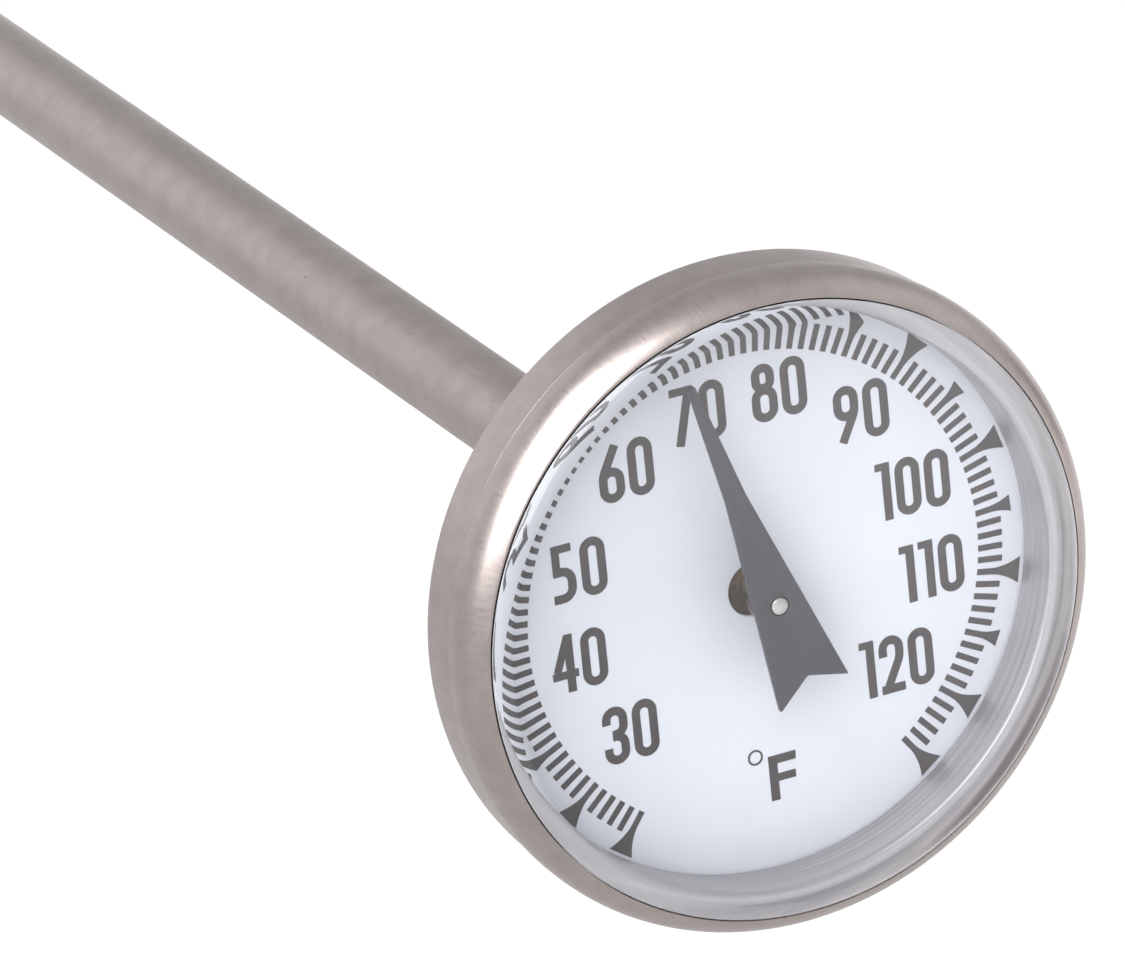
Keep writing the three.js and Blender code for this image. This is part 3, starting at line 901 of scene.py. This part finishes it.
class THERMOMETER_OT_numbers(Operator):
    """Prints the numbers and the unit sign on the dial"""

    bl_idname = "thermometer.numbers"
    bl_label = "Numbers"

    def execute(self, context):
        sizes = context.scene.thermometer.dial
        models = {symbol: drawn_digit(symbol, sizes.ink) for symbol in DIGITS}
        numbers, signs = [], []
        for text, (x, z) in NUMBER_PLACES.items():
            halves = [HALF_WIDTHS.get(symbol, HALF_WIDTH) * MM for symbol in text]
            left = x * MM - sum(halves) - sizes.digit_gap * (len(text) - 1) / 2
            for symbol, half in zip(text, halves):
                digit = copy_of(models[symbol])
                digit.location = (left + half, 0, z * MM)
                settle(digit)
                left += 2 * half + sizes.digit_gap
                (numbers if symbol.isdigit() else signs).append(digit)
        for model in models.values():
            bpy.data.objects.remove(model)
        for shapes, name in ((numbers, "scale_numbers"), (signs, "unit_sign")):
            finish_piece(one_object(shapes, name), "head", "scale_ink")
        return {"FINISHED"}


FLARE_CURVE = 1.8           # how late a wide mark spreads: 1 would be straight


def plain_mark(sizes):
    """A scale mark of even width, standing at 12 o'clock."""
    pen = Pen("mark", 0, sizes.mark_inner, UP, DIAL.front, sizes.mark_width, 90)
    pen.line_to(0, sizes.mark_outer)
    return pen.lift()


def flared_mark(sizes, outer, outer_width, steps=6):
    """A scale mark that spreads towards its outer end, standing at 12 o'clock."""
    pen = Pen("mark", 0, sizes.mark_inner, UP, DIAL.front, sizes.mark_width, 90)
    pen.line_to(0, sizes.flare_from)
    width = sizes.mark_width
    for i in range(1, steps + 1):
        share = i / steps
        wider = sizes.mark_width + (outer_width - sizes.mark_width) * share**FLARE_CURVE
        pen.line_to(0, sizes.flare_from + (outer - sizes.flare_from) * share)
        bpy.ops.transform.resize(value=(wider / width, 1, 1), center_override=(0, DIAL.front, pen.y))
        width = wider
    return pen.lift()


class THERMOMETER_OT_marks(Operator):
    """Prints the scale's marks round the dial"""

    bl_idname = "thermometer.marks"
    bl_label = "Scale marks"

    def execute(self, context):
        sizes = context.scene.thermometer.dial
        kinds = {
            10: thickened(flared_mark(sizes, sizes.ten_outer, sizes.ten_width), VIEWER * sizes.ink),
            5: thickened(flared_mark(sizes, sizes.five_outer, sizes.five_width), VIEWER * sizes.ink),
            1: thickened(plain_mark(sizes), VIEWER * sizes.ink),
        }
        marks = []
        for temperature in range(sizes.first_mark, sizes.last_mark + 1):
            at_end = temperature in (sizes.first_mark, sizes.last_mark)
            kind = next(every for every in kinds if at_end or temperature % every == 0)
            mark = copy_of(kinds[kind])
            mark.rotation_euler.y = (temperature - sizes.middle_mark) * sizes.step
            marks.append(settle(mark))
        for model in kinds.values():
            bpy.data.objects.remove(model)
        finish_piece(one_object(marks, "scale_marks"), "head", "scale_ink")
        return {"FINISHED"}


# ---------------------------------------------------------------- the pointer


def rest_turn(sizes):
    """The pointer's turn at rest: its travel down to the first mark gives its place on the scale."""
    swing = next(joint for joint in frame["joints"] if joint["name"] == "pointer_swing")
    first = (sizes.first_mark - sizes.middle_mark) * sizes.step
    return first - math.radians(swing["range_deg"][0])


class THERMOMETER_OT_pointer(Operator):
    """Models the pointer's flat blade"""

    bl_idname = "thermometer.pointer"
    bl_label = "Pointer"

    def execute(self, context):
        sizes = context.scene.thermometer.pointer
        pen = Pen("pointer_blade", -sizes.tip_width / 2, sizes.reach, UP, POINTER_BACK)
        pen.lines_to(
            (-sizes.waist_width / 2, sizes.waist), (-sizes.tail_width / 2, -sizes.tail),
            (0, sizes.notch - sizes.tail), (sizes.tail_width / 2, -sizes.tail),
            (sizes.waist_width / 2, sizes.waist), (sizes.tip_width / 2, sizes.reach),
            (-sizes.tip_width / 2, sizes.reach))
        pen.lift()
        work_on(pen.shape)
        bpy.ops.mesh.bevel(affect="VERTICES", offset=sizes.corner, segments=4)
        bpy.ops.mesh.select_all(action="SELECT")
        bpy.ops.mesh.edge_face_add()
        bpy.ops.object.mode_set(mode="OBJECT")
        blade = thickened(pen.shape, VIEWER * (POINTER_BACK - POINTER_FRONT))
        eye = Pen("eye", 0, POINTER_BACK + MM)
        eye.lines_to(
            (SHAFT.radius + sizes.seat, POINTER_BACK + MM),
            (SHAFT.radius + sizes.seat, POINTER_FRONT - MM), (0, POINTER_FRONT - MM))
        combined(blade, spun(eye, sizes.shaft_segments), "DIFFERENCE")
        softened(blade, sizes.edge)
        blade.rotation_euler.y = rest_turn(context.scene.thermometer.dial)
        settle(blade)
        finish_piece(blade, "pointer", "pointer_black", "pointer")
        return {"FINISHED"}


class THERMOMETER_OT_pointer_shaft(Operator):
    """Models the long shaft that carries the pointer"""

    bl_idname = "thermometer.pointer_shaft"
    bl_label = "Pointer shaft"

    def execute(self, context):
        sizes = context.scene.thermometer.pointer
        dome = sizes.shaft_dome
        radius = (SHAFT.radius**2 + dome**2) / (2 * dome)
        centre = SHAFT.front + radius
        turn = math.degrees(math.asin(SHAFT.radius / radius))
        pen = Pen("shaft", 0, SHAFT.front)
        pen.arc(0, centre, turn, steps=6)
        pen.lines_to((SHAFT.radius, SHAFT.back), (0, SHAFT.back))
        shaft = softened(spun(pen, sizes.shaft_segments), sizes.edge)
        finish_piece(shaft, "pointer", "nut_steel", "pointer_shaft")
        return {"FINISHED"}


class THERMOMETER_OT_pointer_hub(Operator):
    """Models the brass hub behind the pointer"""

    bl_idname = "thermometer.pointer_hub"
    bl_label = "Pointer hub"

    def execute(self, context):
        sizes = context.scene.thermometer.pointer
        hub = turned_ring("hub", SHAFT.radius + sizes.seat, HUB, sizes.hub_segments)
        softened(hub, 2 * sizes.edge)
        # The hub takes the darker brass, which is painted shade.
        finish_piece(hub, "pointer", "bush_brass", "pointer_hub", finish="hub_brass_painted_shade")
        return {"FINISHED"}


# ---------------------------------------------------------------- the stem


class THERMOMETER_OT_stem(Operator):
    """Models the stem's tube and the plug that closes its tip"""

    bl_idname = "thermometer.stem"
    bl_label = "Stem and tip"

    def execute(self, context):
        sizes = context.scene.thermometer.stem
        bore = STEM.radius - sizes.wall
        tube = turned_ring("stem", bore, STEM, sizes.segments)
        softened(tube, sizes.end_rounding)
        finish_piece(tube, "stem", "stem_steel", "stem_tube")

        spigot = bore - sizes.seat
        cap = STEM.back + sizes.seat
        pen = Pen("stem_tip", 0, PLUG.front)
        pen.lines_to(
            (spigot, PLUG.front), (spigot, cap), (PLUG.radius, cap),
            (PLUG.radius, PLUG.back - sizes.tip_rounding))
        pen.arc(PLUG.radius - sizes.tip_rounding, PLUG.back - sizes.tip_rounding, 90, steps=10)
        pen.line_to(0, PLUG.back)
        tip = softened(spun(pen, sizes.segments), sizes.end_rounding)
        finish_piece(tip, "stem", "stem_steel", "stem_tip_plug")
        return {"FINISHED"}


class THERMOMETER_OT_nut(Operator):
    """Models the hexagon nut that a spanner holds while the head is turned"""

    bl_idname = "thermometer.nut"
    bl_label = "Calibration nut"

    def execute(self, context):
        sizes = context.scene.thermometer.stem
        flats = NUT.radius * math.cos(math.pi / 6)
        corner = flats + sizes.nut_chamfer * math.sqrt(3)
        rise = sizes.nut_chamfer * (corner - flats) / (NUT.radius - flats)
        bore = STEM.radius + sizes.seat
        bpy.ops.object.select_all(action="DESELECT")
        bpy.ops.mesh.primitive_cylinder_add(
            vertices=6, radius=NUT.radius, depth=NUT.back - NUT.front,
            location=(0, (NUT.front + NUT.back) / 2, 0), rotation=(math.pi / 2, 0, 0))
        nut = bpy.context.object
        nut.name = "nut"
        nut.data.name = "nut"
        nut.rotation_euler.rotate(Matrix.Rotation(math.pi / 6, 4, "Y"))
        settle(nut)
        pen = Pen("nut_cone", bore, NUT.front)
        pen.lines_to(
            (flats, NUT.front), (corner, NUT.front + rise), (corner, NUT.back - rise), (flats, NUT.back),
            (bore, NUT.back), (bore, NUT.front))
        combined(nut, spun(pen, sizes.segments), "INTERSECT")
        softened(nut, sizes.nut_edge, sharper_than=25)
        finish_piece(nut, "stem", "nut_steel", "calibration_nut")
        return {"FINISHED"}


class THERMOMETER_OT_inner_pieces(Operator):
    """Gives the pieces inside the case and the stem their finishes"""

    bl_idname = "thermometer.inner_pieces"
    bl_label = "Inner pieces"

    def execute(self, context):
        slots = {piece["node"]: piece["material_slot"] for piece in frame["record"]["subparts"]}
        for name, node in frame["nodes"].items():
            if not node.hide_render:
                node.data.materials.clear()
                node.data.materials.append(FINISHES[slots[name]])
        return {"FINISHED"}


# ---------------------------------------------------------------- the stage


def look_at(place, aim, roll=0.0):
    """The turn of a camera or lamp at a place, so that it faces a point."""
    turn = (aim - place).to_track_quat("-Z", "Y").to_matrix().to_4x4()
    return Matrix.Translation(place) @ turn @ Matrix.Rotation(roll, 4, "Z")


def around(azimuth, elevation, distance, centre):
    """A place at a distance from a centre. Azimuth 0 is in front of the dial, 90 is at its +X side."""
    level = math.cos(elevation)
    return centre + distance * Vector((
        math.sin(azimuth) * level, -math.cos(azimuth) * level, math.sin(elevation)))


def around_head(azimuth, elevation, distance):
    """A place at a distance from the head, with its angles in degrees."""
    return around(math.radians(azimuth), math.radians(elevation), distance, Vector())


def softbox(name, azimuth, elevation, distance, size, power):
    """A square area lamp that faces the head."""
    lamp = bpy.data.lights.new(name, "AREA")
    lamp.shape = "SQUARE"
    lamp.size = size
    lamp.energy = power
    holder = bpy.data.objects.new(name, lamp)
    bpy.context.scene.collection.objects.link(holder)
    holder.matrix_world = look_at(around_head(azimuth, elevation, distance), Vector())


def card(name, place, size, finish, upright=False):
    """A flat card seen only by what is glossy. It lies level, or stands up and faces the head."""
    bpy.ops.object.select_all(action="DESELECT")
    bpy.ops.mesh.primitive_plane_add(size=size, location=place)
    sheet = bpy.context.object
    sheet.name = name
    if upright:
        sheet.matrix_world = look_at(Vector(place), Vector())
    settle(sheet)
    sheet.data.materials.append(finish)
    sheet.visible_camera = sheet.visible_diffuse = sheet.visible_transmission = sheet.visible_shadow = False


# Where the room is brighter or darker than the rest: azimuth, elevation, half-width in degrees,
# and brightness.
ROOM_PATCHES = ((150, 45, 62, 0.62), (-156, 14, 34, 1.05), (84, 28, 30, 1.0))
PATCH_CORE = 0.35               # share of a patch's half-width that is even, inside its soft edge


SENSOR_WIDTH = 36               # millimetres, for the lens
FAR_CLIP = 50                   # metres
KEY_AZIMUTH = -55
KEY_ELEVATION = 40


def pale_room(brightness):
    """The surroundings: an even pale room with a few brighter and darker patches."""
    room = bpy.data.worlds.new("pale_room")
    room.use_nodes = True
    nodes, links = room.node_tree.nodes, room.node_tree.links
    background = nodes["Background"]
    background.inputs["Color"].default_value = (0.98, 0.99, 1.0, 1)
    way = nodes.new("ShaderNodeTexCoord").outputs["Generated"]
    strength = None
    for azimuth, elevation, half_width, level in ROOM_PATCHES:
        near = nodes.new("ShaderNodeVectorMath")
        near.operation = "DOT_PRODUCT"
        near.inputs[1].default_value = around_head(azimuth, elevation, 1)
        links.new(way, near.inputs[0])
        share = nodes.new("ShaderNodeMapRange")
        share.interpolation_type = "SMOOTHSTEP"
        share.inputs["From Min"].default_value = math.cos(math.radians(half_width))
        share.inputs["From Max"].default_value = math.cos(math.radians(half_width * PATCH_CORE))
        links.new(near.outputs["Value"], share.inputs["Value"])
        mix = nodes.new("ShaderNodeMix")
        mix.inputs["A"].default_value = brightness
        mix.inputs["B"].default_value = level
        links.new(share.outputs["Result"], mix.inputs["Factor"])
        if strength:
            links.new(strength, mix.inputs["A"])
        strength = mix.outputs["Result"]
    links.new(strength, background.inputs["Strength"])
    return room


class THERMOMETER_OT_stage(Operator):
    """Sets up the camera, the pale floor and the soft light"""

    bl_idname = "thermometer.stage"
    bl_label = "Camera, floor and light"

    def execute(self, context):
        scene = context.scene
        studio = scene.thermometer.studio
        camera = bpy.data.objects.new("camera", bpy.data.cameras.new("camera"))
        scene.collection.objects.link(camera)
        camera.data.lens = studio.lens
        camera.data.sensor_width = SENSOR_WIDTH
        camera.data.clip_start = 10 * MM
        camera.data.clip_end = FAR_CLIP
        aim = Vector(studio.aim)
        place = around(studio.azimuth, studio.elevation, studio.distance, aim)
        camera.matrix_world = look_at(place, aim, studio.roll)
        scene.camera = camera

        bpy.ops.object.select_all(action="DESELECT")
        bpy.ops.mesh.primitive_plane_add(size=studio.floor_size, location=(0, 0, -studio.floor_drop))
        floor = bpy.context.object
        floor.name = "floor"
        floor.data.materials.append(floor_finish(scene.thermometer.finishes.floor))

        floor_glow = glow("floor_glow", dim=0.76, bright=1.15, dim_at=0.02, bright_at=0.3)
        card("floor_card", (0, 0, 2 * MM - studio.floor_drop), studio.floor_size, floor_glow)
        haze = glow("haze", dim=0.1, bright=2.0, dim_at=0.085, bright_at=0.135)
        card("haze_card", (0.2, -0.27, 4 * MM - studio.floor_drop), 0.3, haze)
        brown = glow("brown_flag", dim=0.4, bright=0.4, dim_at=0, bright_at=1, tint=(1, 0.88, 0.86))
        card("brown_flag", around_head(102, -3, 0.5), 0.17, brown, upright=True)
        scene.world = pale_room(studio.sky)
        scene.view_settings.view_transform = "Standard"
        softbox("key_softbox", KEY_AZIMUTH, KEY_ELEVATION, studio.key_distance, studio.key_size, studio.key)
        return {"FINISHED"}


# ---------------------------------------------------------------- the add-on

PIECE_OPERATORS = (
    THERMOMETER_OT_bezel,
    THERMOMETER_OT_case,
    THERMOMETER_OT_crystal,
    THERMOMETER_OT_crystal_ring,
    THERMOMETER_OT_dial,
    THERMOMETER_OT_numbers,
    THERMOMETER_OT_marks,
    THERMOMETER_OT_pointer,
    THERMOMETER_OT_pointer_shaft,
    THERMOMETER_OT_pointer_hub,
    THERMOMETER_OT_stem,
    THERMOMETER_OT_nut,
    THERMOMETER_OT_inner_pieces,
)


class THERMOMETER_PT_panel(Panel):
    """Lists the thermometer's pieces and their sizes"""

    bl_idname = "THERMOMETER_PT_panel"
    bl_label = "Darkroom Thermometer"
    bl_space_type = "VIEW_3D"
    bl_region_type = "UI"
    bl_category = "Thermometer"

    def draw(self, context):
        settings = context.scene.thermometer
        for operator in (*PIECE_OPERATORS, THERMOMETER_OT_stage):
            self.layout.operator(operator.bl_idname)
        for group in ("head", "dial", "pointer", "stem", "finishes", "studio"):
            box = self.layout.box()
            box.label(text=group.title())
            values = getattr(settings, group)
            for name in values.__annotations__:
                box.prop(values, name)


GROUPS = (HeadSizes, DialSizes, PointerSizes, StemSizes, Finishes, Studio, ThermometerSettings)
CLASSES = (*GROUPS, *PIECE_OPERATORS, THERMOMETER_OT_stage, THERMOMETER_PT_panel)


def register():
    for kind in CLASSES:
        bpy.utils.register_class(kind)
    bpy.types.Scene.thermometer = PointerProperty(type=ThermometerSettings)


def unregister():
    del bpy.types.Scene.thermometer
    for kind in reversed(CLASSES):
        bpy.utils.unregister_class(kind)


def run(operator):
    """Calls an operator by its name."""
    group, name = operator.bl_idname.split(".")
    getattr(getattr(bpy.ops, group), name)()


def main():
    register()
    make_finishes(bpy.context.scene.thermometer.finishes)
    for operator in PIECE_OPERATORS:
        run(operator)
    run(THERMOMETER_OT_stage)


if __name__ == "__main__":
    main()
